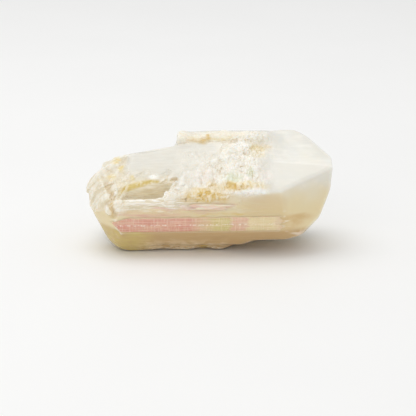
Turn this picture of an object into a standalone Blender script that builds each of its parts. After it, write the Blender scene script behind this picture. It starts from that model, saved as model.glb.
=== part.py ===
"""Rubellite specimen: a milky quartz crystal lying on its side, with a long tourmaline
pencil grown into its lower front edge and a shorter tourmaline sliver above it.

+Z is up. The quartz crystal's long axis runs along X and its best side faces -Y. It rests
on the flat of its broken underside, at Z = 0. Shapes are worked out in millimetres and
scaled to metres as each mesh is stored.
"""
import math

import bmesh
import bpy
from mathutils import Matrix, Vector, noise

MM = 0.001

# Driving dimensions, in millimetres.
BLANK_SIZE = 160.0         # cube that the crystal faces are cut from
CONTACT_GAP = 0.3          # air between a tourmaline crystal and its groove
ROUGH_CELL = 1.35          # spacing of the modelled lumps and pits
SLICE_SNAP = 0.05          # a slice goes through a vertex that is nearer to it than this
SHORTEST_EDGE = 0.08       # a shorter edge is closed up before the surface is roughened
CREASE_ANGLE = 20.0        # degrees: a sharper edge than this is worn round where it is rough
WEAR_PASSES = 3
NOISE_SEED = 2

PENCIL_AXIS_YZ = (-12.15, 9.15)
PENCIL_SIDE = 3.9
SLIVER_AXIS_YZ = (-12.45, 13.9)
SLIVER_SIDE = 2.7
TOURMALINE_RISE = 0.8      # degrees, rising towards +X
SIDE_BULGE = 0.14          # how far each side of a tourmaline bows out, per side length
SIDE_RIBS = 7              # striations on each side of a tourmaline
RIB_DEPTH = 0.07

# A flat face: its roll about the X axis (0 faces -Y, 90 faces up, 180 faces +Y, -90 faces
# down), its lean towards +X, both in degrees, and a point that the face passes through.
CRYSTAL_FACES = {
    "front": (3, 0, (0, -13.3, 10.7)),
    "lower_front": (-36, 0.5, (0, -13.5, 7.2)),
    "foot": (-90, 0, (0, 0, 0)),
    "main": (56, -4, (-10, -12.9, 15.9)),
    "right_bevel": (57, -0.5, (17.3, -13, 17.9)),
    "top": (64.5, -0.5, (17, -4.5, 23.5)),
    "crest": (112, -10, (-1.4, 3.9, 26.9)),
    "right_front": (8, 24, (18.4, -13.1, 16)),
    "right_crest": (106, 30, (26.7, 3, 27.9)),
    "right_shoulder": (112, 46, (30.6, -3, 25.7)),
    "right_end": (-140, 78, (32.2, -6, 22.9)),
    "right_lower": (-80, 68, (29.7, -6, 12.2)),
    "right_heel": (-70, 45, (26.5, -7, 6.9)),
    "right_under": (-78, 20, (22.2, -8, 4.3)),
    "left_crest": (100, -34, (-27.5, -1, 22.4)),
    "left_shoulder": (112, -62, (-31.4, -1, 17.4)),
    "left_end": (-110, -76, (-32.6, -3, 14.3)),
    "left_lower": (-76, -61, (-29.8, -6, 8)),
    "left_heel": (-74, -40, (-25.1, -8, 1.6)),
    "left_front": (25, -52, (-27.5, -10.5, 13.5)),
    "left_rind": (-25, -50, (-25, -12.6, 7.5)),
    "back_upper": (135, 2, (0, 13.2, 24.6)),
    "back": (181, 0, (0, 13.6, 14)),
    "back_lower": (222, 0, (0, 13.2, 7)),
}

# The rough bar that stands along the back of the crest.
RIDGE_FACES = {
    "top": (97, 0, (0, 6, 29.0)),
    "front": (14, 0, (0, 2.4, 28)),
    "front_bevel": (55, 0, (0, 3.4, 28.9)),
    "left": (90, -82, (-8.8, 5, 28)),
    "right": (90, 74, (16.2, 6, 28.6)),
    "back": (150, -1, (0, 8.9, 28.2)),
    "root": (-90, 0, (0, 6, 21.5)),
}

# The notch at the upper left: a long wall under a ledge, a sunken floor and a lip.
NOTCH_FACES = {
    "wall": (175, -9, (-12, -7.6, 19)),
    "left_wall": (178, -34, (-22.8, -10.0, 17.5)),
    "right_wall": (0, 64, (-10, -10, 17)),
    "floor": (-92, -2, (-15, -10, 14.3)),
    "lip": (-22, 0, (-15, -11.8, 15.2)),
    "mouth": (62, -4, (-15, -14.4, 20.0)),
}
NOTCH_BEVEL_FACES = {
    "slope": (217, -2, (-18.6, -7.7, 18.7)),
    "mouth": (56, -4, (-15, -14.4, 20.0)),
    "right": (0, 72, (-12.6, -7.4, 19)),
    "left": (0, -60, (-23.6, -9, 18)),
    "lip": (-22, 0, (-15, -11.8, 15.2)),
}

# Hollows broken out of the underside.
UNDERCUT_FACES = {
    "roof": (88, -1.5, (14, -8, 4.0)),
    "left": (92, -27, (6.5, -8, 1.2)),
    "inner": (140, -6, (12, -1.5, 2.0)),
}
HEEL_CUT_FACES = {
    "roof": (75, 10, (-24, 8, 3.0)),
    "inner": (40, 52, (-19, 7, 1.5)),
}

# The pencil is trimmed at both ends: to a blunt point at the left, and along the quartz's
# right front face at the right. The sliver's ends are cut on a slant.
PENCIL_END_FACES = {
    "left_lower": (-70, -44, (-24.2, -13.3, 8.0)),
    "left_upper": (25, -66, (-25.4, -13.3, 10.0)),
    "left_top": (90, -14.6, (-21, -13.3, 10.72)),
    "right_flush": (8, 24, (18.4, -13.5, 16)),
    "right": (-10, 74, (22.9, -12, 9.5)),
}
SLIVER_END_FACES = {
    "left": (30, -62, (-7.0, -13.4, 13.8)),
    "right": (-20, 66, (7.2, -13.4, 14.0)),
}

# The rough zones: how far each stands out of the crystal faces on the whole, the height and
# size of its ledges, and the height and size of its grains. The chips are cut in instead.
CRUST_RELIEF = (1.35, 0.7, 5.0, 1.4, 3.0)
LEFT_RELIEF = (-0.1, 1.0, 6.0, 1.3, 3.4)
BACK_RELIEF = (0.1, 0.7, 8.0, 0.9, 4.0)
RIDGE_RELIEF = (0.0, 0.6, 4.5, 1.0, 3.0)
CHIP_RELIEF = (0.9, 1.0, 4.0, 0.9, 3.2)


def face_normal(roll, lean):
    roll = math.radians(roll)
    lean = math.radians(lean)
    return Vector((math.sin(lean), -math.cos(lean) * math.cos(roll), math.cos(lean) * math.sin(roll)))


def smooth_step(start, end, value):
    t = min(max((value - start) / (end - start), 0.0), 1.0)
    return t * t * (3.0 - 2.0 * t)


def new_collection(name):
    collection = bpy.data.collections.new(name)
    bpy.context.scene.collection.children.link(collection)
    return collection


def store(bm, name, collection, material=None):
    """Make an object from a bmesh in millimetres."""
    bmesh.ops.transform(bm, matrix=Matrix.Scale(MM, 4), verts=bm.verts)
    mesh = bpy.data.meshes.new(name)
    bm.to_mesh(mesh)
    bm.free()
    obj = bpy.data.objects.new(name, mesh)
    if material:
        mesh.materials.append(material)
    collection.objects.link(obj)
    return obj


def cut_flat(bm, point, normal):
    """Cut away what lies in front of a plane, and close the cut with a flat face."""
    cut = bmesh.ops.bisect_plane(
        bm, geom=bm.verts[:] + bm.edges[:] + bm.faces[:], dist=0.001,
        plane_co=point, plane_no=normal, clear_outer=True)
    rim = [item for item in cut["geom_cut"] if isinstance(item, bmesh.types.BMEdge)]
    bmesh.ops.edgeloop_fill(bm, edges=rim)


def convex_solid(faces):
    """A cube cut down to the space behind every face."""
    bm = bmesh.new()
    bmesh.ops.create_cube(bm, size=BLANK_SIZE)
    for roll, lean, point in faces.values():
        cut_flat(bm, point, face_normal(roll, lean))
    bmesh.ops.recalc_face_normals(bm, faces=bm.faces)
    return bm


def make_tool(bm, name, collection):
    tool = store(bm, name, collection)
    tool.hide_render = True
    tool.display_type = "WIRE"
    return tool


def boolean(target, tool, operation):
    modifier = target.modifiers.new(tool.name, "BOOLEAN")
    modifier.operation = operation
    modifier.solver = "EXACT"
    modifier.object = tool


def evaluated_bmesh(obj):
    """The object's mesh with its modifiers applied, in millimetres."""
    depsgraph = bpy.context.evaluated_depsgraph_get()
    mesh = bpy.data.meshes.new_from_object(obj.evaluated_get(depsgraph))
    bm = bmesh.new()
    bm.from_mesh(mesh)
    bpy.data.meshes.remove(mesh)
    bmesh.ops.transform(bm, matrix=Matrix.Scale(1 / MM, 4), verts=bm.verts)
    return bm


def grains(point, size):
    """Rounded grains: about 0.5 at the middle of a grain and -0.4 between grains."""
    nearest = noise.voronoi(point / size)[0][0]
    return 0.5 - nearest


def ledges(point, size):
    """Stepped levels with sloped risers, between about -1 and 1."""
    level = 3.0 * noise.noise(point / size)
    step = math.floor(level)
    return (step + smooth_step(0.25, 0.75, level - step)) / 2.0


def crust_cover(point):
    """1 on the granular crust of the upper front and 0 off it."""
    x, y, z = point + 1.0 * noise.noise_vector(point / 2.2) + 1.8 * noise.noise_vector(point / 7.0)
    left = -11.3 + 0.29 * (z - 15.7)
    low = 14.7 + 0.14 * (x + 8.0)
    high = 23.9 + 0.7 * max(0.0, x + 0.5)
    fade_in = 1.0 + 0.5 * max(0.0, z - 17.0)
    return (smooth_step(left - 0.6, left + fade_in, x) * smooth_step(18.0, 10.0, x)
            * smooth_step(low - 0.5, low + 0.3, z) * smooth_step(high + 0.8, high - 2.2, z)
            * smooth_step(5.0, 3.0, y))


def left_cover(point):
    """1 on the lumpy left end and 0 off it."""
    x, y, z = point + 1.5 * noise.noise_vector(point / 4.0)
    rind = smooth_step(12.5, 10.5, z) * smooth_step(0.0, -3.0, y)
    ledge_strip = smooth_step(2.2, 1.2, abs(z - 19.6 - 0.12 * (x + 16.0))) * smooth_step(-9.0, -11.0, x)
    end = smooth_step(-20.5, -23.0, x)
    return max(end, 0.6 * ledge_strip * smooth_step(-13.0, -11.0, y)) * (1.0 - rind)


def back_cover(point):
    """1 on the rough patches of the back and 0 on its flat faces."""
    patch = noise.noise(point / 13.0 + Vector((3.1, 0.4, 1.7)))
    return smooth_step(7.5, 9.5, point.y) * smooth_step(-0.2, -0.05, patch)


def ridge_cover(point):
    """1 on the bar along the crest and 0 on the crystal face that it stands on."""
    roll, lean, place = CRYSTAL_FACES["top"]
    above_top_face = (point - Vector(place)).dot(face_normal(roll, lean))
    return smooth_step(0.05, 0.4, above_top_face) * smooth_step(21.0, 17.0, point.x)


def chip_cover(point):
    """1 on the broken rim of the underside and 0 on the flat foot inside it."""
    rim = max(abs(point.x + 4.0) / 19.0, abs(point.y - 1.0) / 8.0)
    return smooth_step(2.6, 0.8, point.z) * smooth_step(0.85, 1.1, rim) * smooth_step(-21.0, -9.0, point.x)


def relief(point, zone):
    rise, ledge_height, ledge_size, grain_height, grain_size = zone
    return rise + ledge_height * ledges(point, ledge_size) + grain_height * grains(point, grain_size)


def roughness(point):
    """How far the rough surface stands out of the flat faces, in millimetres."""
    crust = crust_cover(point)
    height = crust * relief(point, CRUST_RELIEF)
    height += (1.0 - crust) * left_cover(point) * relief(point, LEFT_RELIEF)
    height += back_cover(point) * relief(point, BACK_RELIEF)
    height += ridge_cover(point) * relief(point, RIDGE_RELIEF)
    height -= chip_cover(point) * relief(point, CHIP_RELIEF)
    return height


def slice_into_cells(bm):
    low = [min(v.co[axis] for v in bm.verts) for axis in range(3)]
    high = [max(v.co[axis] for v in bm.verts) for axis in range(3)]
    for axis in range(3):
        normal = Vector((0, 0, 0))
        normal[axis] = 1.0
        count = int((high[axis] - low[axis]) / ROUGH_CELL)
        for index in range(1, count + 1):
            place = normal * (low[axis] + index * ROUGH_CELL)
            bmesh.ops.bisect_plane(
                bm, geom=bm.verts[:] + bm.edges[:] + bm.faces[:], dist=SLICE_SNAP,
                plane_co=place, plane_no=normal)


def creased_verts(bm):
    """The vertices of every sharp edge, and their neighbours."""
    limit = math.radians(CREASE_ANGLE)
    creased = {vert for edge in bm.edges if edge.calc_face_angle(0.0) > limit for vert in edge.verts}
    return creased | {edge.other_vert(vert) for vert in creased for edge in vert.link_edges}


def roughen(bm):
    """Raise lumps and ledges where the crystal is rough, and leave its flat faces flat."""
    slice_into_cells(bm)
    bmesh.ops.dissolve_degenerate(bm, dist=SHORTEST_EDGE, edges=bm.edges)
    bm.normal_update()
    worn = creased_verts(bm)
    moves = {}
    for vert in bm.verts:
        height = roughness(vert.co)
        if abs(height) > 0.01:
            moves[vert] = vert.normal * height
    for vert, move in moves.items():
        vert.co += move
    worn = [vert for vert in moves if vert in worn]
    for _ in range(WEAR_PASSES):
        bmesh.ops.smooth_vert(
            bm, verts=worn, factor=0.5, use_axis_x=True, use_axis_y=True, use_axis_z=True)
    for vert in moves:
        vert.co.z = max(vert.co.z, 0.0)
    flat_verts = [vert for vert in bm.verts if vert not in moves]
    flat_edges = [edge for edge in bm.edges if not any(vert in moves for vert in edge.verts)]
    bmesh.ops.dissolve_limit(
        bm, angle_limit=math.radians(0.5), verts=flat_verts, edges=flat_edges)
    bmesh.ops.triangulate(bm, faces=bm.faces)
    bmesh.ops.dissolve_degenerate(bm, dist=SHORTEST_EDGE / 2.0, edges=bm.edges)


def tourmaline_section(side, offset=0.0):
    """A rounded triangle with bowed, ribbed sides; one corner points to +Y."""
    corner_radius = side / math.sqrt(3.0)
    corners = [Vector((math.cos(angle), math.sin(angle))) * corner_radius
               for angle in (0.0, 2.0 * math.pi / 3.0, 4.0 * math.pi / 3.0)]
    points = []
    for index in range(3):
        start = corners[index]
        end = corners[(index + 1) % 3]
        outward = (start + end).normalized()
        for rib in range(2 * SIDE_RIBS):
            along = rib / (2.0 * SIDE_RIBS)
            bow = 4.0 * along * (1.0 - along) * SIDE_BULGE * side
            rib_height = RIB_DEPTH * (rib % 2) if offset == 0.0 else 0.0
            points.append(start.lerp(end, along) + outward * (bow + rib_height))
    return [point + point.normalized() * offset for point in points]


def tourmaline_prism(axis_yz, side, end_faces, offset=0.0):
    """The section swept along X, tilted up a little towards +X and trimmed at its ends.

    The offset grows it on every side, for a groove that clears the crystal.
    """
    bm = bmesh.new()
    start = Vector((-BLANK_SIZE / 2.0, 0, 0))
    rim = [bm.verts.new(start + Vector((0, y, z))) for y, z in tourmaline_section(side, offset)]
    cap = bm.faces.new(rim)
    swept = bmesh.ops.extrude_face_region(bm, geom=[cap])
    end_verts = [item for item in swept["geom"] if isinstance(item, bmesh.types.BMVert)]
    bmesh.ops.translate(bm, verts=end_verts, vec=(BLANK_SIZE, 0, 0))
    tilt = Matrix.Rotation(math.radians(-TOURMALINE_RISE), 4, "Y")
    place = Matrix.Translation((0, axis_yz[0], axis_yz[1]))
    bmesh.ops.transform(bm, matrix=place @ tilt, verts=bm.verts)
    for roll, lean, point in end_faces.values():
        normal = face_normal(roll, lean)
        cut_flat(bm, Vector(point) + normal * offset, normal)
    bmesh.ops.recalc_face_normals(bm, faces=bm.faces)
    return bm


def principled(name, colour, roughness, transmission=0.0):
    material = bpy.data.materials.new(name)
    material.use_nodes = True
    shader = material.node_tree.nodes["Principled BSDF"]
    shader.inputs["Base Color"].default_value = (*colour, 1.0)
    shader.inputs["Roughness"].default_value = roughness
    shader.inputs["Metallic"].default_value = 0.0
    shader.inputs["Transmission Weight"].default_value = transmission
    material.diffuse_color = (*colour, 1.0)
    return material


def build_quartz(parts, tools):
    quartz = principled("milky_quartz", (0.82, 0.78, 0.68), 0.35, 0.2)
    blank = store(convex_solid(CRYSTAL_FACES), "quartz_blank", tools)
    boolean(blank, make_tool(convex_solid(RIDGE_FACES), "ridge", tools), "UNION")
    cuts = {"notch": NOTCH_FACES, "notch_bevel": NOTCH_BEVEL_FACES,
            "undercut": UNDERCUT_FACES, "heel_cut": HEEL_CUT_FACES}
    for name, faces in cuts.items():
        boolean(blank, make_tool(convex_solid(faces), name, tools), "DIFFERENCE")
    bm = evaluated_bmesh(blank)
    bpy.data.objects.remove(blank)
    roughen(bm)
    crystal = store(bm, "quartz_crystal", parts, quartz)
    beds = {"pencil_groove": (PENCIL_AXIS_YZ, PENCIL_SIDE, PENCIL_END_FACES),
            "sliver_groove": (SLIVER_AXIS_YZ, SLIVER_SIDE, SLIVER_END_FACES)}
    for name, (axis_yz, side, end_faces) in beds.items():
        groove = tourmaline_prism(axis_yz, side, end_faces, CONTACT_GAP)
        boolean(crystal, make_tool(groove, name, tools), "DIFFERENCE")


def build_pencil(parts):
    rubellite = principled("rubellite", (0.62, 0.16, 0.22), 0.25, 0.3)
    bm = tourmaline_prism(PENCIL_AXIS_YZ, PENCIL_SIDE, PENCIL_END_FACES)
    bmesh.ops.triangulate(bm, faces=bm.faces)
    store(bm, "rubellite_pencil", parts, rubellite)


def build_sliver(parts):
    pale_rubellite = principled("pale_rubellite", (0.66, 0.38, 0.42), 0.3, 0.3)
    bm = tourmaline_prism(SLIVER_AXIS_YZ, SLIVER_SIDE, SLIVER_END_FACES)
    bmesh.ops.triangulate(bm, faces=bm.faces)
    store(bm, "rubellite_sliver", parts, pale_rubellite)


def stand_on_origin(parts, tools):
    """Carry every piece on one empty, so that the specimen stands centred over the origin."""
    depsgraph = bpy.context.evaluated_depsgraph_get()
    places = [vert.co for obj in parts.objects for vert in obj.evaluated_get(depsgraph).data.vertices]
    low = [min(place[axis] for place in places) for axis in range(3)]
    high = [max(place[axis] for place in places) for axis in range(3)]
    carrier = bpy.data.objects.new("specimen", None)
    parts.objects.link(carrier)
    carrier.location = (-(low[0] + high[0]) / 2.0, -(low[1] + high[1]) / 2.0, -low[2])
    for obj in parts.objects[:] + tools.objects[:]:
        if obj is not carrier:
            obj.parent = carrier


def main():
    for obj in list(bpy.data.objects):
        bpy.data.objects.remove(obj, do_unlink=True)
    noise.seed_set(NOISE_SEED)
    parts = new_collection("rubellite_specimen")
    tools = new_collection("cutters")
    build_quartz(parts, tools)
    build_pencil(parts)
    build_sliver(parts)
    stand_on_origin(parts, tools)


main()
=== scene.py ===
"""Rubellite specimen: the looks of a milky quartz crystal with a tourmaline pencil in its
lower front edge, a shorter sliver above it and a granular crust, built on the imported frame.

Shapes are worked out in millimetres, in the crystal's own place: the frame stands centred
over the origin, and SHIFT carries a frame point back to where the crystal's faces are given.
"""
import math

import bmesh
import bpy
import numpy as np
from mathutils import Matrix, Vector, noise
from mathutils.bvhtree import BVHTree


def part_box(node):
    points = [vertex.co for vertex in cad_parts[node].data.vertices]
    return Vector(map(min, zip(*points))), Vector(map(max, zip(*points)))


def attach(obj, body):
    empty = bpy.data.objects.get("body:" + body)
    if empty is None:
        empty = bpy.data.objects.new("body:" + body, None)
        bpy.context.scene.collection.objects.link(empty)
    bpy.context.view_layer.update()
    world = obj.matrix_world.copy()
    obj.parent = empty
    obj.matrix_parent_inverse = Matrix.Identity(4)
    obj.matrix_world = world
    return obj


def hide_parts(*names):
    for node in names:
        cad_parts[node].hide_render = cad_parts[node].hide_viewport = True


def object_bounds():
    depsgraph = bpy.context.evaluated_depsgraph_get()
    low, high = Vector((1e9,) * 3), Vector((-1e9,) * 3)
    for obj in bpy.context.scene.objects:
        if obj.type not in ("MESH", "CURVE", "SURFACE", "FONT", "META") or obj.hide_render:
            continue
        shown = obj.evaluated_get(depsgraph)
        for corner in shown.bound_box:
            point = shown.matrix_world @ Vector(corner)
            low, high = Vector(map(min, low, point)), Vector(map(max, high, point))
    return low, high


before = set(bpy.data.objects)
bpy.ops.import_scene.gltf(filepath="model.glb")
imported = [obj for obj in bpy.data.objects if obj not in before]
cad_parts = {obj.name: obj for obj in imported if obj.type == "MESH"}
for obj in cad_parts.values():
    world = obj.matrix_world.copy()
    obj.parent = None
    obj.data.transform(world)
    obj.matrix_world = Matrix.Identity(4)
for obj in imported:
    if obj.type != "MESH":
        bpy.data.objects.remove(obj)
cad_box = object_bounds()

MM = 0.001
NOISE_SEED = 2

# The pencil's lowest X and Y in the crystal's own place; the frame has them somewhere else.
PENCIL_CORNER = Vector((-26.531, -13.892, 0.0))
FRAME_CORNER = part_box("rubellite_pencil")[0] / MM
SHIFT = PENCIL_CORNER - Vector((FRAME_CORNER.x, FRAME_CORNER.y, 0.0))

# Camera: the view of the crystal's -Y side.
CAMERA_AIM = Vector((-0.6, 0.0, 9.5))
CAMERA_ELEVATION = 16.5
CAMERA_DISTANCE = 480.0
CAMERA_LENS = 156.2
SENSOR = 36.0

# Studio lights. Each area light: its name, its place and size in metres, its power in watts
# and its colour.
WORLD_LIGHT = 0.74
AREA_LIGHTS = (
    ("overhead", (-0.12, 0.10, 0.55), 0.45, 1.05, (1.0, 1.0, 1.0)),
    ("front", (-0.20, -0.55, 0.26), 0.40, 0.55, (1.0, 0.99, 0.97)),
)
FLOOR_REACH = 3.0          # metres

# The quartz's fine skin.
VOXEL = 0.3
BED_OVERLAP = 0.42         # the quartz closes the tourmalines' grooves by this much
BED_SINK = 0.66            # and is set back by this much where they show
LAP_SINK = 1.1             # a tourmaline is set back by this much where the quartz laps over it
NEAR_PASSES = 5            # rounds of smoothing for the edges of grooves and grains
EDGE_PASSES = 8            # further rounds for the crystal's edges
RIND_PASSES = 110          # and further rounds for the worn lower left
BED_REACH = (0.9, 0.15)    # ground nearer to a groove than this belongs to it: barely, wholly
LAP_CALM = 0.7             # share of the fine relief that is taken off where the quartz laps over
STRIA_DEPTH = 0.16
CREVICE_DEPTH = 0.45
SHARD_SLOPE = (0.64, 0.77) # the way that the left end's shards run: along X and up

# The tourmalines: rounded triangles swept along X, as in the solids.
TOURMALINE_RISE = 0.8      # degrees, rising towards +X
SIDE_BULGE = 0.14
RIB_DEPTH = 0.07
OUTLINE_POINTS = 40        # points on each of the three sides
RING_STEP = 0.35
END_ROOM = 1.0             # spare length at each end, which is cut away
SHARP_ANGLE = 35.0         # degrees: a sharper edge than this isn't shaded round

# Each one: its axis in Y and Z, the length of a side, how many times wider than the quartz's
# lap its faded rim is, and its end faces. A face is given by its roll, its lean and a point.
PENCIL = {
    "node": "rubellite_pencil",
    "axis": (-12.15, 9.15),
    "side": 3.9,
    "rim_spread": 1.15,
    "seed": 3.0,
    "end_faces": (
        (-70, -44, (-24.2, -13.3, 8.0)),
        (25, -66, (-25.4, -13.3, 10.0)),
        (90, -14.6, (-21, -13.3, 10.72)),
        (8, 24, (18.4, -13.5, 16)),
        (-10, 74, (22.9, -12, 9.5)),
    ),
}
SLIVER = {
    "node": "rubellite_sliver",
    "axis": (-12.45, 13.9),
    "side": 2.7,
    "rim_spread": 1.5,
    "seed": 8.0,
    "end_faces": (
        (30, -62, (-7.0, -13.4, 13.8)),
        (-20, 66, (7.2, -13.4, 14.0)),
    ),
}

# Flat faces of the quartz, as in the solid, and places where its notch ends at the right.
TOP_FACE = (64.5, -0.5, (17, -4.5, 23.5))
MAIN_FACE = (56, -4, (-10, -12.9, 15.9))
BEVEL_FACE = (57, -0.5, (17.3, -13, 17.9))
NOTCH_END = Vector((-9.2, -10.2, 17.6))
NOTCH_KNOB = Vector((-10.4, -11.6, 16.2))
NOTCH_WEDGE = Vector((-9.3, -7.8, 19.4))


# ---------------------------------------------------------------- small helpers

def face_normal(roll, lean):
    """From a face's roll about X (0 faces -Y, 90 faces up) and its lean towards +X, in degrees."""
    roll = math.radians(roll)
    lean = math.radians(lean)
    return Vector((math.sin(lean), -math.cos(lean) * math.cos(roll), math.cos(lean) * math.sin(roll)))


def smooth_step(start, end, value):
    """0 at the start and before it, 1 at the end and past it; the start may be the higher one."""
    t = min(max((value - start) / (end - start), 0.0), 1.0)
    return t * t * (3.0 - 2.0 * t)


def smooth_steps(start, end, values):
    """The same for every value of an array."""
    t = np.clip((values - start) / (end - start), 0.0, 1.0)
    return t * t * (3.0 - 2.0 * t)


def for_each(function, places):
    """A function of a point, worked out at every row of an array."""
    return np.array([function(Vector(place)) for place in places])


# ---------------------------------------------------------------- where the surface is rough

def crust_cover(point):
    """1 on the granular crust of the upper front and 0 off it."""
    x, y, z = point + noise.noise_vector(point / 2.2) + 1.8 * noise.noise_vector(point / 7.0)
    left = -11.3 + 0.29 * (z - 15.7)
    low = 14.7 + 0.14 * (x + 8.0)
    high = 25.2 + 0.5 * max(0.0, x + 0.5)
    fade_in = 1.0 + 0.5 * max(0.0, z - 17.0)
    return (smooth_step(left - 0.6, left + fade_in, x) * smooth_step(18.0, 10.0, x)
            * smooth_step(low - 0.5, low + 0.3, z) * smooth_step(high + 0.8, high - 2.2, z)
            * smooth_step(5.0, 3.0, y))


def left_cover(point):
    """1 on the lumpy left end and 0 off it."""
    x, y, z = point + 1.5 * noise.noise_vector(point / 4.0)
    rind = smooth_step(12.5, 10.5, z) * smooth_step(0.0, -3.0, y)
    ledge_strip = smooth_step(2.2, 1.2, abs(z - 19.6 - 0.12 * (x + 16.0))) * smooth_step(-9.0, -11.0, x)
    end = smooth_step(-20.5, -23.0, x)
    return max(end, 0.6 * ledge_strip * smooth_step(-13.0, -11.0, y)) * (1.0 - rind)


def back_cover(point):
    """1 on the rough patches of the back and 0 on its flat faces."""
    patch = noise.noise(point / 13.0 + Vector((3.1, 0.4, 1.7)))
    return smooth_step(7.5, 9.5, point.y) * smooth_step(-0.2, -0.05, patch)


def ridge_cover(point):
    """1 on the bar along the crest and 0 on the crystal face that it stands on."""
    roll, lean, place = TOP_FACE
    above_top_face = (point - Vector(place)).dot(face_normal(roll, lean))
    return (smooth_step(0.05, 0.4, above_top_face) * smooth_step(24.6, 25.6, point.z)
            * smooth_step(17.0, 13.0, point.x))


def chip_cover(point):
    """1 on the broken rim of the underside and 0 on the flat foot inside it."""
    rim = max(abs(point.x + 4.0) / 19.0, abs(point.y - 1.0) / 8.0)
    return (smooth_step(2.6, 0.8, point.z) * smooth_step(0.85, 1.1, rim)
            * smooth_step(-21.0, -9.0, point.x))


def facets(point, size):
    """Broken grains: each one is flat, with its own height and tilt."""
    distances, centres = noise.voronoi(point / size)
    own = noise.cell_vector(centres[0] * 5.3) - Vector((0.5, 0.5, 0.5))
    return own.z + 1.6 * own.dot(point / size - centres[0]) + 0.5 * (0.5 - distances[0])


def broken(*layers):
    """Grains of several sizes on top of each other; a layer is a point, a height and a size."""
    return sum(height * facets(point, size) for point, height, size in layers)


# ---------------------------------------------------------------- meshes

def node_bmesh(name):
    """A node's mesh, welded, in crystal millimetres."""
    bm = bmesh.new()
    bm.from_mesh(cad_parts[name].data)
    bmesh.ops.remove_doubles(bm, verts=bm.verts, dist=0.001 * MM)
    bmesh.ops.transform(bm, matrix=Matrix.Translation(SHIFT) @ Matrix.Scale(1 / MM, 4), verts=bm.verts)
    bmesh.ops.recalc_face_normals(bm, faces=bm.faces)
    return bm


def one_skin(solids, voxel):
    """One closed mesh of even quads around several overlapping solids."""
    joined = bmesh.new()
    for solid in solids:
        part = bpy.data.meshes.new("part")
        solid.to_mesh(part)
        joined.from_mesh(part)
        bpy.data.meshes.remove(part)
    mesh = bpy.data.meshes.new("skin")
    joined.to_mesh(mesh)
    joined.free()
    obj = bpy.data.objects.new("skin", mesh)
    bpy.context.scene.collection.objects.link(obj)
    remesh = obj.modifiers.new("remesh", "REMESH")
    remesh.mode = "VOXEL"
    remesh.voxel_size = voxel
    skin = bpy.data.meshes.new_from_object(obj.evaluated_get(bpy.context.evaluated_depsgraph_get()))
    bpy.data.objects.remove(obj)
    bpy.data.meshes.remove(mesh)
    return skin


def places_of(mesh):
    flat = np.empty(len(mesh.vertices) * 3, np.float32)
    mesh.vertices.foreach_get("co", flat)
    return flat.reshape(-1, 3).astype(float)


def normals_of(mesh):
    flat = np.empty(len(mesh.vertices) * 3, np.float32)
    mesh.vertices.foreach_get("normal", flat)
    return flat.reshape(-1, 3).astype(float)


def set_places(mesh, places):
    mesh.vertices.foreach_set("co", places.astype(np.float32).ravel())
    mesh.update()


def neighbour_mean(places, edges):
    """For each vertex, the middle of the vertices that it shares an edge with."""
    total = np.zeros_like(places)
    for axis in range(places.shape[1]):
        total[:, axis] += np.bincount(edges[:, 0], places[edges[:, 1], axis], len(places))
        total[:, axis] += np.bincount(edges[:, 1], places[edges[:, 0], axis], len(places))
    count = np.bincount(edges.ravel(), minlength=len(places))
    return total / np.maximum(count, 1)[:, None]


def worn_down(places, edges, passes):
    """The places after this many rounds of smoothing."""
    for _ in range(passes):
        places = 0.5 * places + 0.5 * neighbour_mean(places, edges)
    return places


def edges_of(mesh):
    flat = np.empty(len(mesh.edges) * 2, np.int32)
    mesh.edges.foreach_get("vertices", flat)
    return flat.reshape(-1, 2)


def add_mask(mesh, name, values):
    layer = mesh.attributes.new(name, "FLOAT", "POINT")
    layer.data.foreach_set("value", values.astype(np.float32))


def add_piece(name, mesh, material, node):
    """Put a mesh in crystal millimetres where the frame has it, dressed and riding on the body."""
    mesh.transform(Matrix.Scale(MM, 4) @ Matrix.Translation(-SHIFT))
    mesh.materials.clear()
    mesh.materials.append(material)
    obj = bpy.data.objects.new(name, mesh)
    bpy.context.scene.collection.objects.link(obj)
    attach(obj, "root")
    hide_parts(node)


# ---------------------------------------------------------------- quartz crystal

def rough_zones(place):
    """How far each kind of rough ground covers a place: crust, left end, back, ridge, chips."""
    crust = crust_cover(place)
    left = left_cover(place) * (1.0 - crust)
    return crust, left, back_cover(place), ridge_cover(place), chip_cover(place)


def crust_strength(place):
    """The crust's grains are full-sized at the lower right and fainter towards the upper left."""
    return 0.35 + 0.65 * smooth_step(-9.0, 3.0, place.x - 0.8 * (place.z - 19.0))


def slanted(place):
    """A place pushed together along the slope that the left end's shards follow."""
    run, rise = SHARD_SLOPE
    along = run * place.x + rise * place.z
    across = run * place.z - rise * place.x
    return Vector((0.4 * along, 0.7 * place.y, across))


def fine_relief(place, zones):
    """The grains and pits that the solid is too coarse for, in millimetres.

    What is taken off after a zone's grains keeps it at the solid's own level.
    """
    crust, left, back, ridge, chips = zones
    upright = Vector((place.x, 0.45 * place.y, 0.45 * place.z))
    lengthwise = Vector((0.35 * place.x, place.y, place.z))
    slant = slanted(place)
    height = crust * crust_strength(place) * (broken((place, 0.22, 1.7), (upright, 0.20, 0.75)) - 0.05)
    height += notch_end_relief(place)
    height += left * (broken((slant, 0.30, 2.3), (slant, 0.12, 1.0), (place, 0.08, 0.7)) - 0.10)
    height += back * (broken((lengthwise, 0.28, 1.6), (place, 0.14, 1.0)) - 0.08)
    height += ridge * (broken((lengthwise, 0.18, 1.2), (place, 0.08, 0.8)) - 0.05)
    height += chips * (broken((lengthwise, 0.30, 1.8), (place, 0.16, 1.0)) - 0.20)
    return height


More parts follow.
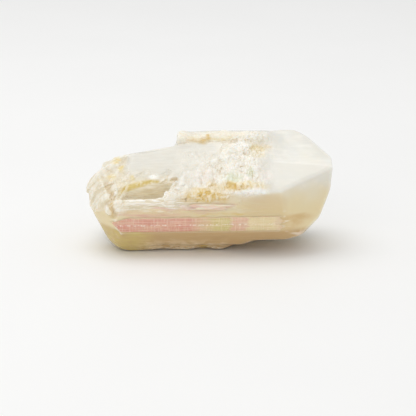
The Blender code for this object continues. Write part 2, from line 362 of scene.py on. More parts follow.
def notch_end_relief(place):
    """Jagged lumps, a knob and a wedge-shaped dent at the right end of the notch."""
    jagged = smooth_step(4.0, 2.0, (place - NOTCH_END).length) * (0.5 * facets(place, 1.5) + 0.1)
    knob = smooth_step(2.2, 0.4, (place - NOTCH_KNOB).length) * (0.6 + 0.5 * facets(place, 1.1))
    x, y, z = place - NOTCH_WEDGE
    off = Vector((x / 2.2, y / 1.8, z / 0.9)).length
    wedge = smooth_step(1.0, 0.2, off) * (0.5 + 0.6 * facets(place, 1.3))
    return jagged + knob - wedge


def striae(place, depth):
    """Fine ribs that run along the crystal."""
    drawn_out = Vector((0.05 * place.x, place.y, place.z))
    return depth * (0.6 * noise.noise(drawn_out / 0.65) + 0.4 * noise.noise(drawn_out / 0.4))


def notch_cover(places):
    """1 inside the notch at the upper left and 0 outside it."""
    roll, lean, point = MAIN_FACE
    x, y, z = places.T
    behind_main = (np.array(point) - places) @ np.array(face_normal(roll, lean))
    return (smooth_steps(0.15, 0.6, behind_main)
            * smooth_steps(-25.0, -23.8, x) * smooth_steps(-7.6, -8.6, x)
            * smooth_steps(14.3, 14.8, z) * smooth_steps(21.0, 20.0, z)
            * smooth_steps(-5.5, -6.2, y) * smooth_steps(-12.3, -11.6, y))


def bevel_cover(places):
    """1 on the crescent of stained bevel along the notch's upper rim and 0 off it."""
    x, y, z = places.T
    height = 0.96 * z + 0.28 * y            # square to the crescent's own slope
    middle = 15.95 - 0.028 * (x + 13.8) ** 2
    half_width = 0.75 - 0.012 * (x + 20.3) ** 2
    return (smooth_steps(0.45, -0.3, np.abs(height - middle) - half_width)
            * smooth_steps(-24.4, -22.4, x) * smooth_steps(-12.2, -14.0, x)
            * smooth_steps(-11.8, -11.0, y) * smooth_steps(-4.6, -5.6, y))


def lip_cover(places):
    """1 on the glassy lip between the notch and the pencil and 0 off it."""
    x, y, z = places.T
    return (smooth_steps(-11.4, -12.4, y) * smooth_steps(-26.2, -24.6, x) * smooth_steps(1.0, -7.0, x)
            * smooth_steps(11.0, 12.6, z) * smooth_steps(17.2, 16.4, z))


def crevice_cover(places):
    """1 in the crevice between the lumpy left end and the lip and 0 off it."""
    x, y, z = places.T
    middle = -26.6 + 0.17 * (19.4 - z) + 0.5 * np.sin(1.7 * z)
    return (smooth_steps(1.5, 0.2, np.abs(x - middle)) * smooth_steps(9.8, 11.4, z)
            * smooth_steps(19.0, 16.5, z) * smooth_steps(0.0, -3.0, y))


def rind_cover(places):
    """1 on the smooth worn skin of the lower left and 0 off it."""
    x, y, z = places.T
    return smooth_steps(-17.0, -24.0, x) * smooth_steps(13.0, 11.0, z) * smooth_steps(2.0, -2.0, y)


def faint_cover(places, rough):
    """1 on the smooth face above the notch, up to where the crust starts on it, and 0 off it."""
    x, y, z = places.T
    back_edge = 1.4 + 1.8 * smooth_steps(-9.0, -6.0, x)
    return (smooth_steps(0.85, 0.4, rough) * smooth_steps(8.0, 4.0, x - 0.8 * (z - 19.0))
            * smooth_steps(-20.0, -17.0, x) * smooth_steps(19.2, 20.4, z + 0.1 * x)
            * smooth_steps(back_edge + 1.0, back_edge, y))


def right_end_cover(places):
    """1 where the crust and the bar along the crest run out at the right and 0 off it."""
    x, y, z = places.T
    return (smooth_steps(14.2, 16.8, x) * smooth_steps(20.0, 18.0, x) * smooth_steps(19.5, 20.5, z)
            * smooth_steps(6.0, 4.5, y))


def striated_cover(places):
    """1 where lengthwise ribs show: the front above the pencil, the notch's wall, the lower front."""
    x, y, z = places.T
    front = smooth_steps(-10.5, -12.0, y) * smooth_steps(10.8, 11.4, z) * smooth_steps(19.0, 11.0, x)
    low_front = 0.35 * smooth_steps(-8.0, -10.0, y) * smooth_steps(7.4, 6.6, z)
    return np.maximum(np.maximum(front, notch_cover(places)), low_front)


def flat_relief(place, lip, crevice):
    """Lumps of the lip, the crevice beside it and a faint swell everywhere, in millimetres."""
    drawn_out = Vector((0.3 * place.x, place.y, place.z))
    height = 0.07 * noise.noise(place / 5.5) + 0.03 * noise.noise(place / 2.0)
    height += lip * (0.30 * noise.noise(drawn_out) + 0.12 * facets(drawn_out, 0.8))
    return height - CREVICE_DEPTH * crevice


def quartz_mesh(beds):
    """The quartz's fine skin and its rough zones, one row of zones for each vertex.

    Each bed is a mesh, the tourmaline that lies in it and its lap function.
    """
    solid = node_bmesh("quartz_crystal")
    mesh = one_skin([solid] + [bed for bed, _, _ in beds], VOXEL)
    solid.free()
    places = places_of(mesh)
    edges = edges_of(mesh)
    zones = for_each(rough_zones, places)
    rough = zones.max(axis=1)
    near = np.zeros(len(places))
    shown = np.zeros(len(places))
    for bed, crystal, lap in beds:
        tree = BVHTree.FromBMesh(bed)
        distance = for_each(lambda place: tree.find_nearest(place)[3], places)
        covered = for_each(lambda place: lap(place, height_on_side(crystal, place)), places)
        beside = smooth_steps(*BED_REACH, distance)
        near = np.maximum(near, beside)
        shown = np.maximum(shown, beside * (1.0 - covered))
    lapped = near * (1.0 - shown)

    even = worn_down(places, edges, NEAR_PASSES)
    worn = worn_down(even, edges, EDGE_PASSES)
    broad = worn_down(worn, edges, RIND_PASSES)
    smooth = (1.0 - smooth_steps(0.02, 0.35, rough)) * (1.0 - shown)
    places = even + smooth[:, None] * (worn - even)
    soft = np.max([smooth * rind_cover(places), faint_cover(places, rough),
                   right_end_cover(places), lapped], axis=0)
    places += soft[:, None] * (broad - places)
    set_places(mesh, places)

    normals = normals_of(mesh)
    for _ in range(NEAR_PASSES):
        normals = neighbour_mean(normals, edges)
    normals /= np.linalg.norm(normals, axis=1)[:, None]
    ribbed = STRIA_DEPTH * striated_cover(places) * (1.0 - rough)
    lip = lip_cover(places) * (1.0 - rough)
    crevice = crevice_cover(places)
    rows = zip(map(Vector, places), zones, ribbed, lip, crevice)
    heights = np.array([
        fine_relief(place, zone) + striae(place, depth) + flat_relief(place, on_lip, in_crevice)
        for place, zone, depth, on_lip, in_crevice in rows])
    places = places + normals * (heights * (1.0 - shown) * (1.0 - LAP_CALM * lapped))[:, None]

    low = np.array(SHIFT + cad_box[0] / MM)
    high = np.array(SHIFT + cad_box[1] / MM)
    set_places(mesh, np.clip(places, low, high))
    return mesh, zones


# ---------------------------------------------------------------- tourmaline crystals

def tourmaline_outline(side, seed):
    """A rounded triangle with bowed sides and uneven ribs; one corner points to +Y."""
    corner_radius = side / math.sqrt(3.0)
    corners = [Vector((math.cos(angle), math.sin(angle))) * corner_radius
               for angle in (0.0, 2.0 * math.pi / 3.0, 4.0 * math.pi / 3.0)]
    points = []
    for index in range(3):
        start = corners[index]
        end = corners[(index + 1) % 3]
        outward = (start + end).normalized()
        for step in range(OUTLINE_POINTS):
            along = step / OUTLINE_POINTS
            bow = 4.0 * along * (1.0 - along) * SIDE_BULGE * side
            across = Vector((along * side, index * 9.1, seed))
            rib = 0.55 * noise.noise(across / 0.32) + 0.45 * noise.noise(across / 0.14)
            rib_height = RIB_DEPTH * (0.4 + rib) * smooth_step(0.0, 0.08, min(along, 1.0 - along))
            points.append(start.lerp(end, along) + outward * (bow + rib_height))
    return points


def cut_flat(bm, point, normal):
    """Cut away what lies in front of a plane, and close the cut with a flat face."""
    cut = bmesh.ops.bisect_plane(
        bm, geom=bm.verts[:] + bm.edges[:] + bm.faces[:], dist=0.001,
        plane_co=point, plane_no=normal, clear_outer=True)
    rim = [item for item in cut["geom_cut"] if isinstance(item, bmesh.types.BMEdge)]
    bmesh.ops.edgeloop_fill(bm, edges=rim)


def height_on_side(crystal, place):
    """From -0.5 at the lower edge of the crystal's front to 0.5 at its upper edge."""
    axis_height = crystal["axis"][1] + place.x * math.tan(math.radians(TOURMALINE_RISE))
    return (place.z - axis_height) / crystal["side"]


def tourmaline_bmesh(crystal):
    """A ribbed crystal swept along X, cracked across here and there and cut to its ends."""
    seed = crystal["seed"]
    low, high = (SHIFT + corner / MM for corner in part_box(crystal["node"]))
    count = math.ceil((high.x - low.x + 2.0 * END_ROOM) / RING_STEP)
    outline = tourmaline_outline(crystal["side"], seed)
    tilt = Matrix.Rotation(math.radians(-TOURMALINE_RISE), 4, "Y")
    place = Matrix.Translation((0, *crystal["axis"])) @ tilt
    bm = bmesh.new()
    rings = []
    for index in range(count + 1):
        x = low.x - END_ROOM + index * RING_STEP
        swell = 1.0 + 0.008 * noise.noise(Vector((x / 5.0, seed, 0)))
        crack = 1.0 - 0.05 * smooth_step(0.35, 0.6, noise.noise(Vector((x / 0.9, seed, 4.0))))
        rings.append([bm.verts.new(place @ Vector((x, y * swell * crack, z * swell * crack)))
                      for y, z in outline])
    for ring, following in zip(rings, rings[1:]):
        for index in range(len(ring)):
            after = (index + 1) % len(ring)
            bm.faces.new((ring[index], ring[after], following[after], following[index]))
    bm.faces.new(rings[0])
    bm.faces.new(rings[-1])
    for roll, lean, point in crystal["end_faces"]:
        cut_flat(bm, Vector(point), face_normal(roll, lean))
    bmesh.ops.recalc_face_normals(bm, faces=bm.faces)
    for vert in bm.verts:
        vert.co = Vector(min(max(vert.co[axis], low[axis]), high[axis]) for axis in range(3))
    return bm


def pencil_lap(place, height):
    """1 where the quartz laps over the pencil and 0 where the pencil shows."""
    ragged = noise.noise(Vector((place.x / 2.5, 0.0, place.z / 0.8)))
    upper = smooth_step(0.45, 0.53, height + 0.05 * noise.noise(Vector((place.x / 2.5, 5.0, 0.0))))
    left = smooth_step(-24.6, -26.0, place.x + ragged)
    right = smooth_step(17.8, 20.4, place.x + 1.5 * ragged)
    return max(upper, left, right)


def sliver_lap(place, height):
    """1 where the quartz laps over the sliver and 0 where the sliver shows."""
    ragged = noise.noise(Vector((place.x / 5.0, 2.0, place.z / 0.6)))
    along = place.x + 3.0 * ragged
    edges = smooth_step(0.34, 0.50, abs(height + 0.08) + 0.12 * ragged)
    left = smooth_step(-4.5, -7.0, along)
    right = smooth_step(4.0, 7.0, along)
    return max(edges, left, right)


def bed_bmesh(crystal, bm, lap):
    """The room that a tourmaline takes in the quartz, less where the quartz laps over it."""
    bed = bm.copy()
    for vert in bed.verts:
        height = height_on_side(crystal, vert.co)
        covered = lap(vert.co, height)
        outward = Vector((0.0, vert.co.y - crystal["axis"][0], height * crystal["side"])).normalized()
        vert.co += outward * BED_OVERLAP
        vert.co.y += BED_OVERLAP + (BED_SINK - BED_OVERLAP) * (1.0 - covered)
    return bed


def tourmaline_mesh(name, crystal, bm, lap):
    """The crystal's mesh, set back under the quartz that laps over it."""
    for vert in bm.verts:
        vert.co.y += LAP_SINK * lap(vert.co, height_on_side(crystal, vert.co))
    mesh = bpy.data.meshes.new(name)
    bm.to_mesh(mesh)
    bm.free()
    places = places_of(mesh)
    heights = for_each(lambda place: height_on_side(crystal, place), places)
    spread = crystal["rim_spread"]
    rim = for_each(lambda place: lap(place, spread * height_on_side(crystal, place)), places)
    add_mask(mesh, "rim", smooth_steps(0.0, 0.45, rim))
    # Painted sheen: a band along the middle of the front that stands in for the highlight on its ribs.
    add_mask(mesh, "sheen_line", smooth_steps(0.08, 0.01, np.abs(heights + 0.03)))
    mesh.shade_smooth()
    mesh.set_sharp_from_angle(angle=math.radians(SHARP_ANGLE))
    return mesh


# ---------------------------------------------------------------- materials

def srgb(red, green, blue):
    """A display colour, 0 to 255, as the linear colour that shaders take."""
    values = [channel / 255.0 for channel in (red, green, blue)]
    linear = [v / 12.92 if v <= 0.04045 else ((v + 0.055) / 1.055) ** 2.4 for v in values]
    return (*linear, 1.0)


class Graph:
    """A material's node tree, with one short call for each kind of node used here."""

    def __init__(self, name):
        self.material = bpy.data.materials.new(name)
        self.material.use_nodes = True
        self.nodes = self.material.node_tree.nodes
        self.links = self.material.node_tree.links
        self.shader = self.nodes["Principled BSDF"]
        self.place = self.nodes.new("ShaderNodeTexCoord").outputs["Object"]

    def feed(self, socket, value):
        if isinstance(value, bpy.types.NodeSocket):
            self.links.new(value, socket)
        else:
            socket.default_value = value

    def mask(self, name):
        node = self.nodes.new("ShaderNodeAttribute")
        node.attribute_name = name
        return node.outputs["Fac"]

    def noise(self, size, detail=2.0, stretch=(1.0, 1.0, 1.0)):
        """Cloudy noise with lumps of about this size, in millimetres, drawn out along the axes."""
        mapping = self.nodes.new("ShaderNodeMapping")
        self.links.new(self.place, mapping.inputs["Vector"])
        mapping.inputs["Scale"].default_value = [1.0 / (MM * size * part) for part in stretch]
        node = self.nodes.new("ShaderNodeTexNoise")
        self.links.new(mapping.outputs["Vector"], node.inputs["Vector"])
        node.inputs["Scale"].default_value = 1.0
        node.inputs["Detail"].default_value = detail
        return node.outputs["Fac"]

    def cells(self, size):
        """Distance from the middle of grains of about this size."""
        node = self.nodes.new("ShaderNodeTexVoronoi")
        self.links.new(self.place, node.inputs["Vector"])
        node.inputs["Scale"].default_value = 1.0 / (MM * size)
        return node.outputs["Distance"]

    def ramp(self, value, low, high):
        """0 where the value is low and 1 where it is high, with soft ends."""
        node = self.nodes.new("ShaderNodeMapRange")
        node.interpolation_type = "SMOOTHSTEP"
        self.feed(node.inputs["Value"], value)
        node.inputs["From Min"].default_value = low
        node.inputs["From Max"].default_value = high
        return node.outputs["Result"]

    def math(self, operation, first, second):
        node = self.nodes.new("ShaderNodeMath")
        node.operation = operation
        self.feed(node.inputs[0], first)
        self.feed(node.inputs[1], second)
        return node.outputs["Value"]

    def times(self, first, second):
        return self.math("MULTIPLY", first, second)

    def mix(self, factor, under, over):
        node = self.nodes.new("ShaderNodeMix")
        node.data_type = "RGBA"
        self.feed(node.inputs["Factor"], factor)
        self.feed(node.inputs[6], under)
        self.feed(node.inputs[7], over)
        return node.outputs[2]

    def tint(self, under, mask, amount, over):
        """Lay a colour on where the mask says, at most by the amount."""
        factor = mask if amount == 1.0 else self.times(mask, amount)
        return self.mix(factor, under, over)

    def between(self, factor, low, high):
        """A number that goes from low to high as the factor goes from 0 to 1."""
        node = self.nodes.new("ShaderNodeMapRange")
        self.feed(node.inputs["Value"], factor)
        node.inputs["To Min"].default_value = low
        node.inputs["To Max"].default_value = high
        return node.outputs["Result"]

    def bump(self, height, distance, strength=1.0, under=None):
        """Relief of the given depth in millimetres."""
        node = self.nodes.new("ShaderNodeBump")
        node.inputs["Distance"].default_value = distance * MM
        node.inputs["Strength"].default_value = strength
        self.links.new(height, node.inputs["Height"])
        if under:
            self.links.new(under, node.inputs["Normal"])
        return node.outputs["Normal"]

    def finish(self, colour, roughness, normal, settings):
        """Wire the shader, and set the sockets that are the same all over the surface."""
        self.feed(self.shader.inputs["Base Color"], colour)
        self.feed(self.shader.inputs["Roughness"], roughness)
        self.links.new(normal, self.shader.inputs["Normal"])
        for name, value in settings.items():
            self.shader.inputs[name].default_value = value
        return self.material


# ---------------------------------------------------------------- where the quartz is stained, and where shade and highlights are painted on it

STAIN_EDGE = (1.25, 0.35)  # a stain starts and is full at these parts of its half-lengths

# Each stain, or patch of painted shade or highlight: its middle and its half-lengths along X, Y and Z.
OCHRE_STAINS = (
    ((-2.9, 2.5, 27.3), (3.4, 1.6, 0.9)),
    ((-0.2, 3.1, 28.0), (0.7, 1.6, 1.0)),
    ((14.9, 0.9, 26.3), (1.4, 1.5, 0.8)),
    ((0.6, -11.4, 19.2), (1.6, 2.2, 1.4)),
    ((1.4, -12.4, 18.3), (2.8, 2.4, 1.4)),
    ((0.2, -13.4, 17.2), (2.4, 1.8, 1.2)),
    ((6.4, -12.4, 18.9), (6.4, 2.6, 1.0)),
    ((-1.0, -13.0, 16.6), (8.0, 2.2, 2.2)),
    ((-1.9, -8.0, 1.4), (1.6, 3.0, 1.3)),
    ((-4.4, -13.8, 16.2), (4.6, 1.8, 1.5)),
    ((-1.4, -13.5, 15.2), (2.4, 1.8, 1.1)),
    ((-25.6, -13.0, 12.4), (0.9, 1.4, 2.6)),
    ((3.0, -13.8, 11.8), (7.5, 1.5, 0.4)),
)
YELLOW_STAINS = (
    ((2.8, 3.0, 27.7), (3.4, 1.6, 0.5)),
    ((12.6, -1.2, 26.0), (2.8, 2.2, 1.3)),
    ((12.4, -3.0, 25.0), (2.0, 2.0, 1.0)),
    ((7.0, -12.6, 19.1), (8.0, 3.0, 1.3)),
    ((-1.0, -13.2, 16.9), (5.5, 2.4, 2.2)),
    ((-25.4, 0.3, 22.6), (1.6, 2.4, 1.1)),
    ((-26.0, -4.4, 19.0), (1.3, 2.0, 1.5)),
    ((-23.4, -2.4, 20.6), (1.0, 1.6, 1.8)),
    ((-22.4, 3.0, 24.4), (1.6, 2.4, 0.9)),
    ((-20.6, -6.0, 19.6), (1.2, 1.6, 0.9)),
)
MINT_STAINS = (
    ((5.9, -9.8, 20.7), (2.8, 2.4, 1.8)),
    ((10.6, -8.4, 21.5), (1.2, 2.4, 1.8)),
)
BLUSH_STAINS = (
    ((14.6, -8.7, 21.0), (1.9, 2.4, 2.2)),
    ((-2.0, -8.5, 21.0), (4.0, 3.0, 2.5)),
)
ROSE_STAINS = (
    ((-15.0, -13.3, 11.3), (10.0, 1.6, 0.7)),
    ((-2.0, -13.4, 13.4), (6.0, 1.6, 1.6)),
    ((3.5, -13.4, 14.3), (3.5, 1.6, 1.0)),
    ((-12.0, -13.6, 13.2), (3.6, 1.4, 0.5)),
)
WHITE_STAINS = (
    ((7.8, 0.2, 26.7), (2.9, 2.4, 1.3)),
    ((10.3, -13.8, 18.0), (5.4, 1.8, 0.9)),
    ((-15.0, -6.2, 19.9), (1.8, 1.2, 0.8)),
    ((-11.5, -11.2, 16.8), (1.5, 2.2, 1.6)),
)
SPECK_STAINS = (
    ((-4.2, -13.8, 16.4), (3.6, 1.6, 1.2)),
    ((-1.2, -13.5, 15.3), (1.6, 1.6, 0.8)),
    ((5.4, -13.6, 14.5), (2.4, 1.4, 0.5)),
    ((-25.9, -11.0, 14.0), (0.9, 3.0, 2.4)),
)
# A streak of painted highlight on the front above the pencil.
GLINT_STREAKS = (
    ((6.5, -13.6, 12.9), (4.5, 1.6, 0.5)),
)
# A painted shadow under the overhanging crust at the notch's upper right, where a dent is also cut.
WEDGE_SHADE = (
    (tuple(NOTCH_WEDGE), (1.9, 1.6, 0.8)),
)
PENCIL_END_STAINS = (
    ((22.8, -12.0, 10.5), (4.8, 3.2, 1.2)),
    ((20.8, -13.2, 9.6), (4.5, 3.0, 2.2)),
)


def stain_mask(places, stains):
    """1 at the middle of each stain or patch of painted shade or highlight, fading out towards its
    edge.
    """
    mask = np.zeros(len(places))
    for middle, reach in stains:
        away = np.linalg.norm((places - np.array(middle)) / np.array(reach), axis=1)
        mask = np.maximum(mask, smooth_steps(*STAIN_EDGE, away))
    return mask


# Rounds of smoothing for the borders of masks. Hollows are measured against the surface
# smoothed over this many rounds, and count in full at this depth. The material paints shade
# into the hollows and a highlight onto the bumps.
CRUST_BLUR = 30
RIDGE_BLUR = 20
PIT_SCALE = (6, 0.16)
DELL_SCALE = (40, 0.5)


def blurred(mask, edges, passes):
    """A mask with its borders made softer."""
    return worn_down(mask[:, None], edges, passes)[:, 0]


def hollows(places, normals, edges, passes, depth):
    """1 in pits of this depth and -1 on bumps as high, against the surface smoothed over."""
    smoothed = places
    for _ in range(passes):
        smoothed = neighbour_mean(smoothed, edges)
    return np.clip(((smoothed - places) * normals).sum(axis=1) / depth, -1.0, 1.0)


def inner_tint(places, wander):
    """1 in the tan patch inside the lower front at the right, rounded at its upper right corner."""
    x, _, z = places.T
    across = np.abs((x + 0.3 * wander - 12.6) / 7.0)
    up = np.abs((z + 0.5 * wander - 13.0 - 0.04 * (x - 12.0)) / 3.9)
    patch = smooth_steps(1.16, 0.78, (across ** 4 + up ** 4) ** 0.25)
    return patch * smooth_steps(5.0, 12.0, x)


def above_bevel(places):
    """How far each place is in front of the bevel between the top and the front at the right."""
    roll, lean, point = BEVEL_FACE
    return (places - np.array(point)) @ np.array(face_normal(roll, lean))


def add_quartz_masks(mesh, zones):
    """Store where the quartz is rough, pitted and stained, and where shade and highlights are painted
    on it, for the material to read.
    """
    places = places_of(mesh)
    normals = normals_of(mesh)
    edges = edges_of(mesh)
    drift = for_each(lambda place: noise.noise_vector(place / 2.6), places)
    patchy = for_each(lambda place: noise.noise(place / 3.4), places)
    shards = for_each(lambda place: noise.noise(slanted(place) / 1.3), places)
    drifted = places + 0.7 * drift
    x, y, z = drifted.T
    crust, left, back, ridge, _ = zones.T
    rough = np.clip(zones.max(axis=1), 0, 1)
    streaky = patchy + np.clip(left, 0, 1) * (1.3 * shards - patchy)
    faint = 0.45 + 0.55 * smooth_steps(-10.0, 2.0, x - 0.8 * (z - 19.0) + 2.0 * patchy)
    granular = np.max([crust * faint, ridge, 0.6 * back], axis=0)

    front = smooth_steps(-11.0, -12.6, places[:, 1])
    lip = lip_cover(drifted)
    strip = front * smooth_steps(-25.0, -23.6, x) * smooth_steps(-2.0, -8.0, x)
    # Painted shade and a painted reflection of a warm floor: straw lower down, honey on the lower
    # front, olive blotches at its left.
    low_front = smooth_steps(8.4, 6.6, places[:, 2]) * smooth_steps(4.0, -4.0, places[:, 1])
    chipped = (smooth_steps(4.8, 2.8, z + 1.2 * patchy) * smooth_steps(-21.0, -15.0, x + 3.0 * patchy)
               * smooth_steps(6.0, 1.0, x + 2.0 * patchy))
    warm_shade = smooth_steps(23.0, 12.0, places[:, 2] + 1.5 * patchy)
    warm_shade *= smooth_steps(0.1, -0.8, above_bevel(places))
    warm_shade *= 1.0 - 0.45 * smooth_steps(-4.0, 8.0, places[:, 1])
    crease = places[:, 1] + 4.5 + 0.088 * (places[:, 0] - 17.5)
    right_top = smooth_steps(14.0, 19.0, places[:, 0]) * smooth_steps(-1.2, -0.3, above_bevel(places))
    # The lip's cream tone, which also carries white streaks painted on as its glassy highlights.
    frost_and_glints = lip * smooth_steps(12.6, 13.6, z)
    tan = strip * smooth_steps(13.6, 12.6, z) * smooth_steps(10.8, 11.3, z)

    masks = {
        "rough": rough,
        "granular": blurred(np.clip(granular, 0, 1), edges, CRUST_BLUR),
        "band": smooth_steps(6.0, -2.0, x) * smooth_steps(17.0, 19.0, z) * smooth_steps(5.0, 2.0, y),
        "lumpy": np.clip(left, 0, 1) * (0.35 + 0.65 * smooth_steps(-17.0, -26.0, x + 2.0 * patchy)),
        "ridge": blurred(np.clip(ridge * (1.0 - crust), 0, 1), edges, RIDGE_BLUR),
        # pits and dells: the material paints shade into these hollows, and a highlight onto bumps where
        # they go negative
        "pits": hollows(places, normals, edges, *PIT_SCALE),
        "dells": hollows(places, normals, edges, *DELL_SCALE),
        "ochre": stain_mask(drifted, OCHRE_STAINS) * (0.8 + 0.6 * streaky),
        "yellow": stain_mask(drifted, YELLOW_STAINS) * (0.8 + 0.6 * streaky),
        "bevel": bevel_cover(places + 0.3 * drift),
        "mint": stain_mask(drifted, MINT_STAINS),
        "blush": stain_mask(drifted, BLUSH_STAINS),
        "white": stain_mask(drifted, WHITE_STAINS),
        "specked": stain_mask(drifted, SPECK_STAINS),
        "crevice": crevice_cover(places + 0.5 * drift),
        "shards": 0.5 + shards,
        "gritty": rough - 0.7 * np.clip(left, 0, 1),
        "rose": stain_mask(drifted, ROSE_STAINS) * (0.9 + 0.6 * patchy),
        "brown": front * inner_tint(places, drift[:, 0]),
        "pencil_end": stain_mask(places + 0.6 * drift, PENCIL_END_STAINS),
        "notch": notch_cover(places),
        "striated": striated_cover(places),
        "frost_and_glints": np.maximum(frost_and_glints, 0.5 * stain_mask(drifted, GLINT_STREAKS)),
        # tan: the real tan strip above the pencil, together with the painted shadow in the wedge
        "tan": np.maximum(tan, stain_mask(places, WEDGE_SHADE)),
        # Painted shade and warm floor reflection on the lower front, darker towards the bottom.
        "honey_shade": low_front,
        "olive_shade": low_front * smooth_steps(-13.0, -20.0, x),
        "chipped": chipped * smooth_steps(4.0, -4.0, places[:, 1]),
        "warm_shade": warm_shade,
        # The bevel facet at the right is painted greyer than the top facet, as shade.
        "bevel_face_shade": right_top * smooth_steps(0.3, -0.3, crease),
        # crease: a painted highlight, a thin white line along the crease between the top and the bevel
        "crease": right_top * smooth_steps(0.45, 0.1, np.abs(crease)),
    }
    for name, values in masks.items():
        add_mask(mesh, name, values)


# ---------------------------------------------------------------- materials of the pieces

ICE = srgb(226, 225, 218)
MILK = srgb(244, 240, 230)
FROST = srgb(230, 227, 216)
SNOW = srgb(250, 248, 242)
LIP_CREAM = srgb(214, 205, 184)
BAND_GREY = srgb(214, 210, 198)
# Grey of the painted shade on the bevel facet at the right.
BEVEL_SHADE_GREY = srgb(224, 221, 211)
CREAM = srgb(238, 228, 200)
SAND = srgb(225, 215, 191)
# Colours of the painted shade and painted warm floor reflection on the lower quartz.
STRAW_TINT = srgb(227, 211, 170)
HONEY = srgb(194, 163, 116)
OLIVE = srgb(204, 184, 116)
PALE_CHIP = srgb(242, 224, 190)
OCHRE = srgb(216, 182, 98)
YELLOW = srgb(232, 210, 138)
BEVEL_YELLOW = srgb(210, 186, 108)
MINT = srgb(224, 229, 204)
BLUSH = srgb(240, 226, 220)
ROSE_HAZE = srgb(220, 176, 156)
INNER_BROWN = srgb(205, 176, 124)
AMBER = srgb(205, 168, 110)
# Brown of the painted shade in hollows, dells, the crevice and the notch's striae.
PIT_SHADE_BROWN = srgb(206, 184, 142)
SPECK_BROWN = srgb(150, 122, 74)
# Grey-tan of the painted shade on the notch's recessed wall.
NOTCH_SHADE_GREY = srgb(233, 224, 200)
TAN = srgb(224, 200, 166)


